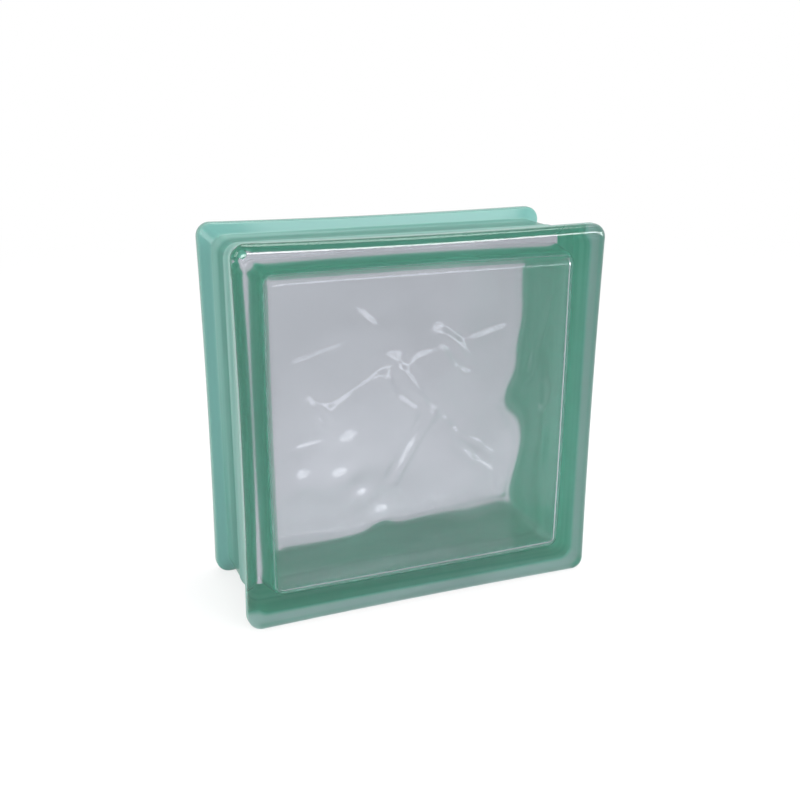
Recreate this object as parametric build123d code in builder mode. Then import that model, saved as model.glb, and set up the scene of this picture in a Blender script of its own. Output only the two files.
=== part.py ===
from build123d import *

import os
from math import atan, cos, degrees, pi, radians, sin

# Hollow glass block for walls: two like halves of pressed glass, fused at mid depth into one sealed piece.
# It stands on its edge. X runs across the faces, Y runs through the block from the front face at -Y to the
# back face at +Y, and Z is up. The origin is under the middle of the block. Sizes are millimetres.

# Outside
width = 190.0
height = 190.0
depth = 80.0
corner_radius = 7.0  # of the flange outline, seen from the front
side_bow = 0.8  # how far each side of the outline draws in between its corners
edge_radius = 4.7  # where a face turns into the edge of its flange

# Flanges, and the mortar channel between them
flange_land = 9.0  # edge of a flange, from the face to the slope
flange_slope = 5.0  # run of the slope from the land to the channel floor
channel_depth = 5.5
channel_corner_radius = 7.0
land_radius = 2.5  # where the land turns into the slope
root_radius = 1.5  # where the slope meets the channel floor

# Fused seam around the channel floor
seam_width = 2.4
seam_height = 0.4

# Sealed hollow
face_thickness = 9.0  # plain border of a face, around its relief
seam_wall = 6.3  # side wall under the channel floor at mid depth, where the halves meet
face_wall = 8.9  # the same wall where the hollow ends at the face
hollow_radius = 6.5  # where its walls turn into each other and into the face

# Wave relief pressed into the inside of each face
relief_inset = 9.0  # from the end of the hollow to the edge of the relief
relief_depth = 2.4  # deepest trough, below the plain border
relief_step = 0.15  # edge of the relief, below the plain border
relief_cells = 44  # steps of the relief grid along a side
fade_power = 4  # how late the waves fade towards the edge of the relief
wave_length = 62.0
wave_heading = 33.0
cross_wave_length = 50.0
cross_heading = 124.0
swirl_length = 92.0
swirl_heading = 78.0
swirl_share = 0.21  # how far the swirl bends a wave, as a share of the wave's length
cross_share = 0.45  # the crossing waves' part in the relief

# Worked out from the sizes above
half_depth = depth / 2
core_width = width - 2 * channel_depth
core_height = height - 2 * channel_depth
hollow_depth = half_depth - face_thickness
hollow_draft = degrees(atan((face_wall - seam_wall) / hollow_depth))
relief_width = core_width - 2 * (face_wall + relief_inset)
relief_height = core_height - 2 * (face_wall + relief_inset)

# Upright planes of the front half, all facing forward, with their origins level with the block's centre
mid_plane = Plane(origin=(0, 0, height / 2), x_dir=(1, 0, 0), z_dir=(0, -1, 0))
land_plane = mid_plane.offset(half_depth - flange_land)
floor_plane = land_plane.offset(-flange_slope)


def wave(x, z, length, heading, bend):
    # Height from -1 to 1 of a train of waves that crosses the face, pushed along by a bend in wave lengths
    run = (x * cos(radians(heading)) + z * sin(radians(heading))) / length
    return sin(2 * pi * (run + bend))


def relief(x, z):
    # Depth of the relief below the plain border, at a place counted from the middle of the face
    bend = swirl_share * wave(x, z, swirl_length, swirl_heading, 0)
    main_wave = wave(x, z, wave_length, wave_heading, bend)
    cross_wave = wave(x, z, cross_wave_length, cross_heading, -bend)
    trough = (1 + (1 - cross_share) * main_wave + cross_share * cross_wave) / 2
    fade = (1 - abs(2 * x / relief_width) ** fade_power) * (1 - abs(2 * z / relief_height) ** fade_power)
    return relief_step + (relief_depth - relief_step) * trough * fade


def edges_in(part, plane):
    # Edges that lie in an upright plane
    return part.edges().filter_by_position(Axis.Y, plane.origin.Y, plane.origin.Y)


# Wavy surface inside the front face
grid_shares = [step / relief_cells - 1 / 2 for step in range(relief_cells + 1)]
relief_columns = []
for x_share in grid_shares:
    x = relief_width * x_share
    column = []
    for z_share in grid_shares:
        z = relief_height * z_share
        column.append(mid_plane.from_local_coords(Vector(x, z, hollow_depth + relief(x, z))))
    relief_columns.append(column)
relief_face = Face.make_surface_from_array_of_points(relief_columns)

# Half of the hollow, from mid depth to the relief: it narrows towards the face, and its end is rounded
with BuildPart() as half_hollow:
    with BuildSketch(mid_plane):
        Rectangle(core_width - 2 * seam_wall, core_height - 2 * seam_wall)
    extrude(amount=hollow_depth)
    draft(half_hollow.faces().sort_by(Axis.Y)[1:-1], mid_plane, hollow_draft)
    fillet(half_hollow.edges() - edges_in(half_hollow, mid_plane), hollow_radius)
    extrude(relief_face, amount=hollow_depth, dir=-mid_plane.z_dir)

# The front half's outside is made first, then its like for the back, and the hollow is taken out of both
with BuildPart() as glass_block:
    with BuildSketch(land_plane) as flange_outline:
        with BuildLine() as outline:
            for quarter in range(4):
                length, across = (width, height) if quarter % 2 == 0 else (height, width)
                reach = length / 2 - corner_radius
                spread = (reach**2 + side_bow**2) / (2 * side_bow)
                foot = reach * (1 - corner_radius / spread)
                rise = across / 2 - corner_radius * side_bow / spread
                middle = (0, across / 2 - side_bow)
                side = ThreePointArc((-foot, rise), middle, (foot, rise), mode=Mode.PRIVATE)
                add(side.rotate(Axis.Z, -90 * quarter))
            sides = outline.edges()
            for side, next_side in zip(sides, sides[1:] + sides[:1]):
                TangentArc(side @ 1, next_side @ 0, tangent=side % 1)
        make_face()
    extrude(amount=flange_land)
    fillet(glass_block.faces().sort_by(Axis.Y)[0].edges(), edge_radius)

    with BuildSketch(floor_plane) as core_outline:
        RectangleRounded(core_width, core_height, channel_corner_radius)
    loft(sections=[core_outline.sketch, flange_outline.sketch], ruled=True)
    fillet(edges_in(glass_block, land_plane), land_radius)
    extrude(core_outline.sketch, amount=flange_land + flange_slope - half_depth)
    fillet(edges_in(glass_block, floor_plane), root_radius)

    with BuildSketch(mid_plane):
        RectangleRounded(core_width, core_height, channel_corner_radius)
        offset(amount=seam_height)
    extrude(amount=seam_width / 2)

    mirror(about=Plane.XZ)
    add(half_hollow.part, mode=Mode.SUBTRACT)
    add(half_hollow.part, rotation=(0, 0, 180), mode=Mode.SUBTRACT)

glass_block.part.label = "glass_block"
os.makedirs("parts", exist_ok=True)
export_step(glass_block.part, "parts/glass_block.step")
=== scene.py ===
import math

import bmesh
import bpy
from mathutils import Matrix, Quaternion, Vector


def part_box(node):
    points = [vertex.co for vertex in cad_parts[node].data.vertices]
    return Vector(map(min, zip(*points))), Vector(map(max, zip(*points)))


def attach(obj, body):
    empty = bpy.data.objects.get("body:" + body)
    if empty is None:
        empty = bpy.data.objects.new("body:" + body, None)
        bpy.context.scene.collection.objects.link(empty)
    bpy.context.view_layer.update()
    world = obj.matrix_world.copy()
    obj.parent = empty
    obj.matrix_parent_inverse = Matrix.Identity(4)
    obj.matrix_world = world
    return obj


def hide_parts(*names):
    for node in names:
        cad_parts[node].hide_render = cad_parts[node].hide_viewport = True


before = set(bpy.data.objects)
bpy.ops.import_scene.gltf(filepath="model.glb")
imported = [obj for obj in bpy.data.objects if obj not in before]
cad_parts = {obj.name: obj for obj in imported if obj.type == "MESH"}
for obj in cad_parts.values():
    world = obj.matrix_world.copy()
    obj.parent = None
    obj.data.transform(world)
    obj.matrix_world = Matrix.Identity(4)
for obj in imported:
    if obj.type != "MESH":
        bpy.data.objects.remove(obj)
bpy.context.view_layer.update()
low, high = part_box("glass_block")
centre = (low + high) / 2
halfSide = (high.x - low.x) / 2
halfDepth = (high.y - low.y) / 2
print("frame loaded, block", [round(side, 4) for side in high - low])


class Flow:
    # wraps a shader socket, so that sums on sockets add Math nodes
    def __init__(self, tree, socket=None):
        self.tree = tree
        self.socket = socket

    def node(self, kind, settings=None, sockets=None, out=0):
        made = self.tree.nodes.new(kind)
        for name, value in (settings or {}).items():
            if name == "stops":
                setStops(made.color_ramp, value)
            else:
                setattr(made, name, value)
        for name, value in (sockets or {}).items():
            if isinstance(value, Flow):
                self.tree.links.new(value.socket, made.inputs[name])
            else:
                made.inputs[name].default_value = value
        return Flow(self.tree, made.outputs[out] if made.outputs else None)

    def math(self, operation, first, second=0):
        return self.node("ShaderNodeMath", {"operation": operation}, {0: first, 1: second})

    def __add__(self, other):
        return self.math("ADD", self, other)

    def __radd__(self, other):
        return self.math("ADD", other, self)

    def __sub__(self, other):
        return self.math("SUBTRACT", self, other)

    def __rsub__(self, other):
        return self.math("SUBTRACT", other, self)

    def __mul__(self, other):
        return self.math("MULTIPLY", self, other)

    def __rmul__(self, other):
        return self.math("MULTIPLY", other, self)


def setStops(ramp, stops):
    while len(ramp.elements) < len(stops):
        ramp.elements.new(1.0)
    for element, (place, colour) in zip(ramp.elements, stops):
        element.position = place
        element.color = colour


def newMaterial(name):
    material = bpy.data.materials.new(name)
    material.use_nodes = True
    material.node_tree.nodes.clear()
    return material, Flow(material.node_tree)


# Glass: outside with flanges and channel, and the sealed hollow inside
glassForm = {
    "cornerRadius": 0.007,
    "cornerSteps": 10,
    "sideSteps": 48,
    "sideBow": 0.0008,  # the flange sides draw in between the corners
    "landWidth": 0.009,
    "slopeRun": 0.005,
    "channelDepth": 0.0055,
    "faceEdge": {"offset": 0.0047, "steps": 10},
    "landEdge": {"offset": 0.0011, "steps": 4},
    "channelEdge": {"offset": 0.0007, "steps": 4},
    "faceHold": 0.0005,  # narrow border that keeps the face flat up to its edge
    "coatThickness": 0.00005,
    "seamHalfWidth": 0.0014,
    "seamHeight": 0.0004,
    "faceThickness": 0.009,
    "seamWall": 0.0063,
    "faceWall": 0.0089,
    "hollowEdge": {"offset": 0.006, "steps": 9},
    "hollowBulge": 0.0005,  # the hollow's walls draw out between the corners
    "reliefCells": 180,
    "reliefInset": 0.009,
    "reliefDepth": 0.0024,
    "fadePower": 4,  # how late the waves fade towards the edge of the relief
    "fadeSharpness": 1.5,
    "wave": {"length": 0.062, "heading": 33},
    "crossWave": {"length": 0.050, "heading": 124},
    "swirl": {"length": 0.092, "heading": 78},
    "swirlShare": 0.21,
    "crossShare": 0.45,
    "same": 0.00001,  # nearer than this is the same place
}

# Fine relief of the front face, in millimetres from its middle
frontRelief = {
    "scale": 0.001,
    "fadeGain": 4,  # how soon the fine relief is whole, coming in from the edge
    "facets": [  # across, up, spread across, spread up, tilt across, tilt up
        (45, 11, 13, 9, -0.19, 0),
        (52, -17, 12, 11, 0.16, 0),
        (45, -51, 12, 10, 0, 0.09),
        (6, 50, 6, 6, 0.07, -0.19),
        (-19, 38, 5, 5, -0.03, -0.16),
        (-21, 29, 3, 3, 0, -0.25),
        (2, 10, 3, 3, 0.04, -0.12),
        (16, -4, 3, 3, 0.06, -0.16),
        (-34, -30, 5, 5, 0.03, -0.38),
        (-26, -40, 5, 5, 0.05, -0.27),
        (-43, -1, 5, 5, 0.09, -0.155),
        (23, 26, 3, 3, 0.05, -0.18),
        (-45, -18, 5, 5, 0.08, -0.18),
        (-67, -17, 7, 6, 0.11, -0.18),
    ],
    "creaseSpread": 2.2,
    "creases": [  # tilt, and the points of a line
        (0.1, [(40, 47), (32, 45), (24, 43), (17, 43)]),
        (0.13, [(8, 39), (1, 38), (-5, 37), (-11, 32)]),
        (0.21, [(20, 27), (14, 31), (8, 40)]),
        (0.2, [(25, 31), (20, 38), (15, 44), (10, 47)]),
        (0.2, [(-22, 32), (-29, 28), (-36, 24), (-42, 20), (-48, 17)]),
        (0.22, [(1, 12), (-6, 22), (-12, 31)]),
        (0.36, [(-7, 11), (-15, 17), (-19, 25)]),
        (0.28, [(15, -3), (11, 2), (5, 7)]),
        (0.24, [(36, -27), (28, -21)]),
        (0.36, [(26, -20), (15, -10)]),
        (0.29, [(36, -18), (30, -12), (19, -7)]),
        (0.4, [(1, 6), (-6, -4), (-14, -17), (-19, -26)]),
        (0.12, [(-27, 54), (-34, 61)]),
        (0.17, [(-46, 45), (-61, 41), (-74, 38)]),
        (0.22, [(-50, 15), (-60, 21)]),
        (0.31, [(-54, 8), (-59, 17)]),
        (0.26, [(-57, -1), (-70, -3)]),
        (0.18, [(67, 58), (62, 43), (58, 32), (57, 24)]),
        (0.14, [(56, 15), (60, 18), (66, 17), (70, 11), (68, 4)]),
    ],
}


def waveAt(x, z, train, bend):
    turn = math.radians(train["heading"])
    run = (x * math.cos(turn) + z * math.sin(turn)) / train["length"]
    return math.sin(2 * math.pi * (run + bend))


def reliefAt(x, z, reach):
    if max(abs(x), abs(z)) >= reach:
        return 0.0
    form = glassForm
    bend = form["swirlShare"] * waveAt(x, z, form["swirl"], 0)
    cross = form["crossShare"]
    height = (1 - cross) * waveAt(x, z, form["wave"], bend)
    height += cross * waveAt(x, z, form["crossWave"], -bend)
    fade = (1 - abs(x / reach) ** form["fadePower"]) * (1 - abs(z / reach) ** form["fadePower"])
    return form["reliefDepth"] * (1 + height) / 2 * fade ** form["fadeSharpness"]


def creaseAt(x, z, line, spread):
    # slope across the nearest piece of a line, falling off to both sides
    nearest = math.inf
    rise = 0.0
    for first, last in zip(line, line[1:]):
        run = Vector(last) - Vector(first)
        offset = Vector((x, z)) - Vector(first)
        share = min(max(offset.dot(run) / run.length_squared, 0), 1)
        offset -= share * run
        if offset.length_squared < nearest:
            nearest = offset.length_squared
            rise = (run.x * offset.y - run.y * offset.x) / run.length
    return rise * math.exp(-nearest / (2 * spread**2))


def fineReliefAt(x, z, reach):
    fine = frontRelief
    inside = max(1 - (max(abs(x), abs(z)) / reach) ** glassForm["fadePower"], 0)
    x, z = x / fine["scale"], z / fine["scale"]
    depth = 0.0
    for across, up, spreadAcross, spreadUp, tiltAcross, tiltUp in fine["facets"]:
        near = math.exp(-((x - across) / spreadAcross) ** 2 / 2 - ((z - up) / spreadUp) ** 2 / 2)
        depth += (tiltAcross * (x - across) + tiltUp * (z - up)) * near
    for tilt, line in fine["creases"]:
        depth += tilt * creaseAt(x, z, line, fine["creaseSpread"])
    return fine["scale"] * depth * min(fine["fadeGain"] * inside, 1)


def edgesAtDepth(bm, depth):
    same = glassForm["same"]
    return [edge for edge in bm.edges if all(abs(v.co.y - depth) < same for v in edge.verts)]


def stepBack(bm, depth, place):
    # carries the open edge of the shell on to a new depth, with each point moved by place
    rim = [edge for edge in bm.edges if edge.is_boundary]
    made = bmesh.ops.extrude_edge_only(bm, edges=rim)["geom"]
    for vert in made:
        if isinstance(vert, bmesh.types.BMVert):
            x, z = place(vert.co.x, vert.co.z)
            vert.co = (x, depth, z)


def makeOutside(bm):
    form = glassForm
    flangeReach = halfSide - form["cornerRadius"]
    coreReach = flangeReach - form["channelDepth"]

    stand = Matrix.Rotation(math.pi / 2, 4, "X") @ Matrix.Rotation(math.pi / 4, 4, "Z")
    bmesh.ops.create_circle(bm, cap_ends=True, segments=4, radius=halfSide * math.sqrt(2), matrix=stand)
    bmesh.ops.bevel(
        bm, geom=bm.verts[:], offset=form["cornerRadius"], offset_type="OFFSET",
        segments=form["cornerSteps"], profile=0.5, affect="VERTICES", material=-1,
    )
    sides = [edge for edge in bm.edges if edge.calc_length() > form["cornerRadius"]]
    bmesh.ops.subdivide_edges(bm, edges=sides, cuts=form["sideSteps"] - 1)
    bmesh.ops.translate(bm, verts=bm.verts[:], vec=(0, -halfDepth, 0))

    def ontoCore(value):
        inner = min(abs(value), flangeReach) * coreReach / flangeReach
        return math.copysign(inner + max(abs(value) - flangeReach, 0), value)

    def ontoSeam(x, z):
        outward = Vector([math.copysign(max(abs(v) - coreReach, 0), v) for v in (x, z)])
        outward *= 1 + form["seamHeight"] / form["cornerRadius"]
        return [math.copysign(min(abs(v), coreReach), v) + step for v, step in zip((x, z), outward)]

    landEnd = form["landWidth"] - halfDepth
    floorStart = landEnd + form["slopeRun"]
    stepBack(bm, landEnd, lambda x, z: (x, z))
    stepBack(bm, floorStart, lambda x, z: (ontoCore(x), ontoCore(z)))
    stepBack(bm, -form["seamHalfWidth"], lambda x, z: (x, z))
    stepBack(bm, -form["seamHalfWidth"] / 2, ontoSeam)
    stepBack(bm, 0, lambda x, z: (x, z))
    rounded = ((-halfDepth, "faceEdge"), (landEnd, "landEdge"), (floorStart, "channelEdge"))
    for depth, edge in rounded:
        bmesh.ops.bevel(
            bm, geom=edgesAtDepth(bm, depth), offset=form[edge]["offset"], offset_type="OFFSET",
            segments=form[edge]["steps"], profile=0.5, affect="EDGES", material=-1,
        )
    face = max(bm.faces, key=lambda f: f.calc_area())
    bmesh.ops.inset_region(bm, faces=[face], thickness=form["faceHold"])

    for vert in bm.verts:  # bow of the flange sides
        share = min(max((floorStart - vert.co.y) / form["slopeRun"], 0), 1)
        along, across = (0, 2) if abs(vert.co.z) > abs(vert.co.x) else (2, 0)
        rise = max(1 - (vert.co[along] / flangeReach) ** 2, 0)
        vert.co[across] -= math.copysign(form["sideBow"] * share * rise, vert.co[across])
    half = bm.verts[:] + bm.edges[:] + bm.faces[:]
    bmesh.ops.mirror(bm, geom=half, axis="Y", merge_dist=form["same"])
    bmesh.ops.recalc_face_normals(bm, faces=bm.faces[:])


def makeHollow(bm):
    form = glassForm
    same = form["same"]
    seamReach = halfSide - form["channelDepth"] - form["seamWall"]
    endReach = halfSide - form["channelDepth"] - form["faceWall"]
    end = halfDepth - form["faceThickness"]
    bmesh.ops.create_cube(bm, size=2, matrix=Matrix.Diagonal((seamReach, end, seamReach, 1)))
    cut = bm.verts[:] + bm.edges[:] + bm.faces[:]
    bmesh.ops.bisect_plane(bm, geom=cut, dist=same, plane_co=(0, 0, 0), plane_no=(0, 1, 0))
    ends = [vert for vert in bm.verts if abs(vert.co.y) > same]
    bmesh.ops.scale(bm, verts=ends, vec=(endReach / seamReach, 1, endReach / seamReach))
    seam = set(edgesAtDepth(bm, 0))
    corners = [edge for edge in bm.edges if edge not in seam]
    bmesh.ops.bevel(
        bm, geom=corners, offset=form["hollowEdge"]["offset"], offset_type="OFFSET",
        segments=form["hollowEdge"]["steps"], profile=0.5, affect="EDGES", material=-1,
    )
    long = [edge for edge in bm.edges if edge.calc_length() > endReach]
    bmesh.ops.subdivide_edges(bm, edges=long, cuts=form["reliefCells"] - 1, use_grid_fill=True)
    reach = endReach - form["reliefInset"]
    for vert in bm.verts:
        along, across = (0, 2) if abs(vert.co.z) > abs(vert.co.x) else (2, 0)
        share = min(max((abs(vert.co[across]) - reach) / (seamReach - reach), 0), 1)
        rise = form["hollowBulge"] * share * max(1 - (vert.co[along] / reach) ** 2, 0)
        vert.co[across] += math.copysign(rise, vert.co[across])
        if abs(vert.co.y) > end - same:
            side = math.copysign(1, vert.co.y)
            depth = reliefAt(-side * vert.co.x, vert.co.z, reach)
            if side < 0:
                depth += fineReliefAt(vert.co.x, vert.co.z, reach)
            vert.co.y += side * depth
    bmesh.ops.recalc_face_normals(bm, faces=bm.faces[:])
    bmesh.ops.reverse_faces(bm, faces=bm.faces[:])  # the hollow is outside the glass


finishOrder = ["faceGlass", "coatOutside", "hollowGlass", "coatInsidePaintedLighter"]  # material slots of the block


def setFinish(faces, name):
    for face in faces:
        face.material_index = finishOrder.index(name)


def coatEdges(bm):
    coatEnd = halfDepth - glassForm["faceEdge"]["offset"]
    coated = [face for face in bm.faces if abs(face.calc_center_median().y) < coatEnd]
    setFinish(coated, "coatOutside")
    bm.normal_update()
    inside = bmesh.ops.duplicate(bm, geom=coated)["geom"]  # the coat as seen through the glass, with its colour painted lighter
    for vert in inside:
        if isinstance(vert, bmesh.types.BMVert):
            vert.co -= glassForm["coatThickness"] * vert.normal
    insideFaces = [face for face in inside if isinstance(face, bmesh.types.BMFace)]
    bmesh.ops.reverse_faces(bm, faces=insideFaces)
    setFinish(insideFaces, "coatInsidePaintedLighter")


def addHollow(bm):
    hollow = bmesh.new()
    makeHollow(hollow)
    setFinish(hollow.faces, "hollowGlass")
    shell = bpy.data.meshes.new("hollowShell")
    hollow.to_mesh(shell)
    hollow.free()
    bm.from_mesh(shell)
    bpy.data.meshes.remove(shell)


def makeBlock(finishes):
    bm = bmesh.new()
    makeOutside(bm)
    coatEdges(bm)
    addHollow(bm)
    bmesh.ops.translate(bm, verts=bm.verts[:], vec=centre)
    for face in bm.faces:
        face.smooth = True
    mesh = bpy.data.meshes.new("clearBlock")
    bm.to_mesh(mesh)
    bm.free()
    for finish in finishes:
        mesh.materials.append(finish)
    block = bpy.data.objects.new("clearBlock", mesh)
    bpy.context.scene.collection.objects.link(block)
    mesh.calc_loop_triangles()
    print("block made, triangles", len(mesh.loop_triangles))
    return block


# Finishes
glassFinish = {
    # painted shade: the faces' grey tint is partly the glass's own tint and partly a darker background
    # seen through the window; its cloud spreads that shade unevenly
    "faceGlass": {"tints": [(0.36, 0.375, 0.415, 1), (0.53, 0.55, 0.605, 1)], "roughness": 0.0},
    "hollowGlass": {"tints": [(0.95, 0.97, 0.965, 1), (0.98, 0.99, 0.985, 1)], "roughness": 0.14},
    "index": 1.5,
    "tintAndShadeCloudScale": 10,
    "tintAndShadeCloudStretch": (1, 0, 1),  # the pattern runs straight through the depth
    "tintAndShadeCloudShift": (0.6, 0, 0.8),  # which part of the pattern shows
    "tintAndShadeCloudEnds": (0.36, 0.76),  # where in the pattern the two tints lie
    "bumpScale": 22,
    "bumpStrength": 0.02,
    "bumpDistance": 0.001,
}


def glassMaterial(name):
    material, flow = newMaterial(name)
    look = glassFinish
    side = look[name]
    place = flow.node("ShaderNodeTexCoord", out="Object")
    flat = flow.node("ShaderNodeVectorMath", {"operation": "MULTIPLY_ADD"}, {
        0: place, 1: look["tintAndShadeCloudStretch"], 2: look["tintAndShadeCloudShift"],
    })
    # cloud that spreads the glass tint and its painted shade unevenly
    tintAndShadeCloud = flow.node("ShaderNodeTexNoise", {}, {"Vector": flat, "Scale": look["tintAndShadeCloudScale"]})
    stops = list(zip(look["tintAndShadeCloudEnds"], side["tints"]))
    colour = flow.node("ShaderNodeValToRGB", {"stops": stops}, {"Fac": tintAndShadeCloud})
    ripple = flow.node("ShaderNodeTexNoise", {}, {"Vector": place, "Scale": look["bumpScale"]})
    normal = flow.node("ShaderNodeBump", {}, {
        "Strength": look["bumpStrength"], "Distance": look["bumpDistance"], "Height": ripple,
    })
    glass = flow.node("ShaderNodeBsdfPrincipled", {}, {
        "Base Color": colour, "Roughness": side["roughness"], "IOR": look["index"],
        "Transmission Weight": 1.0, "Normal": normal,
    })
    flow.node("ShaderNodeOutputMaterial", {}, {"Surface": glass})
    return material


coatFinish = {
    "streakAndSheenStretch": (5, 90, 5),  # streaks that run along the sides: partly brush streaks in the coat, partly painted sheen
    "streakAndSheenDetail": 1.5,
    "streakAndSheenEnds": (0.37, 0.63),  # where in the pattern the two tints lie
    "slopeCoreShare": 1 / 3,  # part of a slope's reach that has its whole colour
    "coatOutside": {
        "tints": [(0.17, 0.36, 0.33, 1), (0.30, 0.47, 0.45, 1)],
        "through": {"share": 0.35, "colour": (0.30, 0.62, 0.54, 1)},  # light that passes through
        "roughness": 0.12,
        "specular": 0.5,
        # darker on the outside of the flange slopes
        "slope": {"colour": (0.14, 0.30, 0.29, 1), "middle": 0.0285, "reach": 0.0035},
    },
    # painted light: the coat seen from inside the glass, its own deeper green painted much lighter to
    # make up for the light the outer coat keeps out
    "coatInsidePaintedLighter": {
        "tints": [(0.21, 0.71, 0.50, 1), (0.41, 0.91, 0.74, 1)],
        "through": {"share": 0.5, "colour": (0.32, 0.95, 0.74, 1)},
        "roughness": 0.5,
        "specular": 0.0,  # it lies on the glass, with no air between
        "slope": {"colour": (0.82, 0.96, 0.92, 1), "middle": 0.0285, "reach": 0.0025},  # painted highlight: a pale band on the inside of the flange slopes
    },
}


def edgeCoatMaterial(name):
    material, flow = newMaterial(name)
    look = coatFinish[name]
    place = flow.node("ShaderNodeTexCoord", out="Object")
    along = flow.node("ShaderNodeVectorMath", {"operation": "MULTIPLY"}, {
        0: place, 1: coatFinish["streakAndSheenStretch"],
    })
    # streaks of the coat's own tone, whose lighter streaks are painted sheen
    streakAndSheen = flow.node("ShaderNodeTexNoise", {}, {
        "Vector": along, "Scale": 1.0, "Detail": coatFinish["streakAndSheenDetail"],
    })
    stops = list(zip(coatFinish["streakAndSheenEnds"], look["tints"]))
    colour = flow.node("ShaderNodeValToRGB", {"stops": stops}, {"Fac": streakAndSheen})
    # slope band: a painted highlight on the inside of the flange slopes, darker paint on their outside
    slope = look["slope"]
    depth = flow.node("ShaderNodeSeparateXYZ", {}, {0: place}, out="Y")
    away = flow.math("ABSOLUTE", flow.math("ABSOLUTE", depth) - slope["middle"])
    share = flow.node("ShaderNodeMapRange", {"interpolation_type": "SMOOTHSTEP"}, {
        "Value": away, "From Min": slope["reach"],
        "From Max": slope["reach"] * coatFinish["slopeCoreShare"],
    })
    colour = flow.node("ShaderNodeMix", {"data_type": "RGBA"}, {
        0: share, 6: colour, 7: slope["colour"],  # factor and the two colours
    }, out=2)
    paint = flow.node("ShaderNodeBsdfPrincipled", {}, {
        "Base Color": colour, "Roughness": look["roughness"], "Specular IOR Level": look["specular"],
    })
    glow = flow.node("ShaderNodeBsdfTranslucent", {}, {"Color": look["through"]["colour"]})
    both = flow.node("ShaderNodeMixShader", {}, {0: look["through"]["share"], 1: paint, 2: glow})
    flow.node("ShaderNodeOutputMaterial", {}, {"Surface": both})
    return material


# Stage
stage = {
    "floorSide": 60,
    "floorColour": (0.94, 0.94, 0.94, 1),
    "floorGlow": {"near": 0.3, "far": 1.3, "low": 0.7, "high": 1.0},  # share of plain white, by distance
    "skyColour": (1, 1, 1, 1),
    "skyLight": 0.7,
    "view": 1.0,  # how bright the sky and the floor look, where 1 is white
}


def seenRays(flow):
    # 1 for rays from the camera, off gloss and through glass
    path = flow.node("ShaderNodeLightPath").socket.node
    rays = ("Is Camera Ray", "Is Glossy Ray", "Is Transmission Ray")
    camera, glossy, through = (Flow(flow.tree, path.outputs[name]) for name in rays)
    return flow.math("MAXIMUM", camera, flow.math("MAXIMUM", glossy, through))


def makeFloor():
    bm = bmesh.new()
    bmesh.ops.create_grid(bm, x_segments=1, y_segments=1, size=stage["floorSide"] / 2)
    mesh = bpy.data.meshes.new("floor")
    bm.to_mesh(mesh)
    bm.free()
    material, flow = newMaterial("paleFloor")
    paint = flow.node("ShaderNodeBsdfDiffuse", {}, {"Color": stage["floorColour"]})
    white = flow.node("ShaderNodeEmission", {}, {"Strength": stage["view"]})
    place = flow.node("ShaderNodeTexCoord", out="Object")
    away = flow.node("ShaderNodeVectorMath", {"operation": "LENGTH"}, {0: place}, out="Value")
    glow = stage["floorGlow"]
    share = flow.node("ShaderNodeMapRange", {"interpolation_type": "SMOOTHSTEP"}, {
        "Value": away, "From Min": glow["near"], "From Max": glow["far"],
        "To Min": glow["low"], "To Max": glow["high"],
    })
    both = flow.node("ShaderNodeMixShader", {}, {0: share * seenRays(flow), 1: paint, 2: white})
    flow.node("ShaderNodeOutputMaterial", {}, {"Surface": both})
    mesh.materials.append(material)
    floor = bpy.data.objects.new("floor", mesh)
    bpy.context.scene.collection.objects.link(floor)


def makeSky():
    world = bpy.data.worlds.new("studio")
    bpy.context.scene.world = world
    world.use_nodes = True
    world.node_tree.nodes.clear()
    flow = Flow(world.node_tree)
    strength = stage["skyLight"] + (stage["view"] - stage["skyLight"]) * seenRays(flow)
    sky = flow.node("ShaderNodeBackground", {}, {"Color": stage["skyColour"], "Strength": strength})
    flow.node("ShaderNodeOutputWorld", {}, {"Surface": sky})


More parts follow.
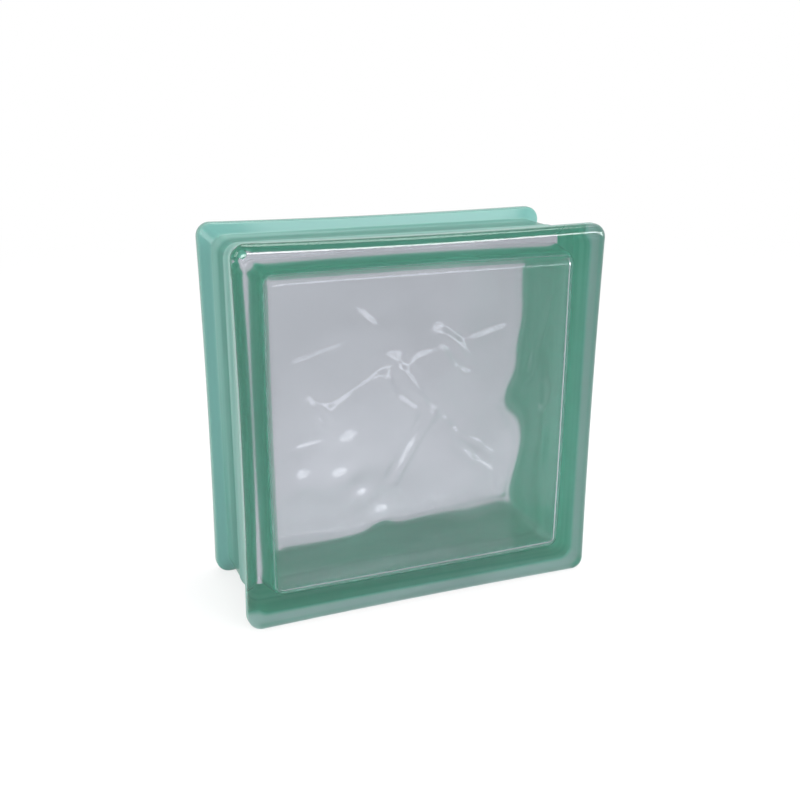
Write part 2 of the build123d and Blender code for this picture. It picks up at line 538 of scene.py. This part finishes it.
lampAim = Vector((0, 0, 0.1))
lamps = {
    "frontLeft": {"place": (-0.22, -1.56, 0.38), "size": (0.8, 0.4), "power": 13},
    "front": {"place": (0.58, -1.43, 0.54), "size": (0.8, 0.4), "power": 14},
    "frontRight": {"place": (1.29, -0.91, 0.35), "size": (1.0, 0.4), "power": 15},
    "left": {"place": (-1.5, -0.5, 1.0), "size": (0.9, 0.9), "power": 11},
    "overhead": {"place": (0.3, 0.35, 1.6), "size": (1.4, 0.6), "power": 11},
}


def makeLamps():
    for name, lamp in lamps.items():
        data = bpy.data.lights.new(name, "AREA")
        data.energy = lamp["power"]
        data.shape = "RECTANGLE"
        data.size, data.size_y = lamp["size"]
        light = bpy.data.objects.new(name, data)
        bpy.context.scene.collection.objects.link(light)
        light.location = lamp["place"]
        ahead = lampAim - Vector(lamp["place"])
        light.rotation_euler = ahead.to_track_quat("-Z", "Y").to_euler()


photoCamera = {
    "place": (-0.19726, -0.47685, 0.26285),
    "aim": (0.0001, 0, 0.07556),
    "rollDegrees": 0.322,
    "sensor": 36,
    "lens": 46.43,
    "shiftY": 0.05,
    "clipStart": 0.01,
}


def makeCamera():
    data = bpy.data.cameras.new("photoCamera")
    data.sensor_width = photoCamera["sensor"]
    data.lens = photoCamera["lens"]
    data.shift_y = photoCamera["shiftY"]
    data.clip_start = photoCamera["clipStart"]
    camera = bpy.data.objects.new("photoCamera", data)
    bpy.context.scene.collection.objects.link(camera)
    ahead = Vector(photoCamera["aim"]) - Vector(photoCamera["place"])
    roll = Quaternion((0, 0, 1), math.radians(photoCamera["rollDegrees"]))
    camera.location = photoCamera["place"]
    camera.rotation_mode = "QUATERNION"
    camera.rotation_quaternion = ahead.to_track_quat("-Z", "Y") @ roll
    bpy.context.scene.camera = camera


bounces = {"max_bounces": 32, "transmission_bounces": 24, "glossy_bounces": 16, "diffuse_bounces": 4}

block = makeBlock([
    glassMaterial(name) if name in glassFinish else edgeCoatMaterial(name) for name in finishOrder
])
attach(block, "root")
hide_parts("glass_block")
makeFloor()
makeSky()
makeLamps()
makeCamera()

scene = bpy.context.scene
scene.view_settings.view_transform = "Standard"
for name, count in bounces.items():
    setattr(scene.cycles, name, count)
print("stage made")
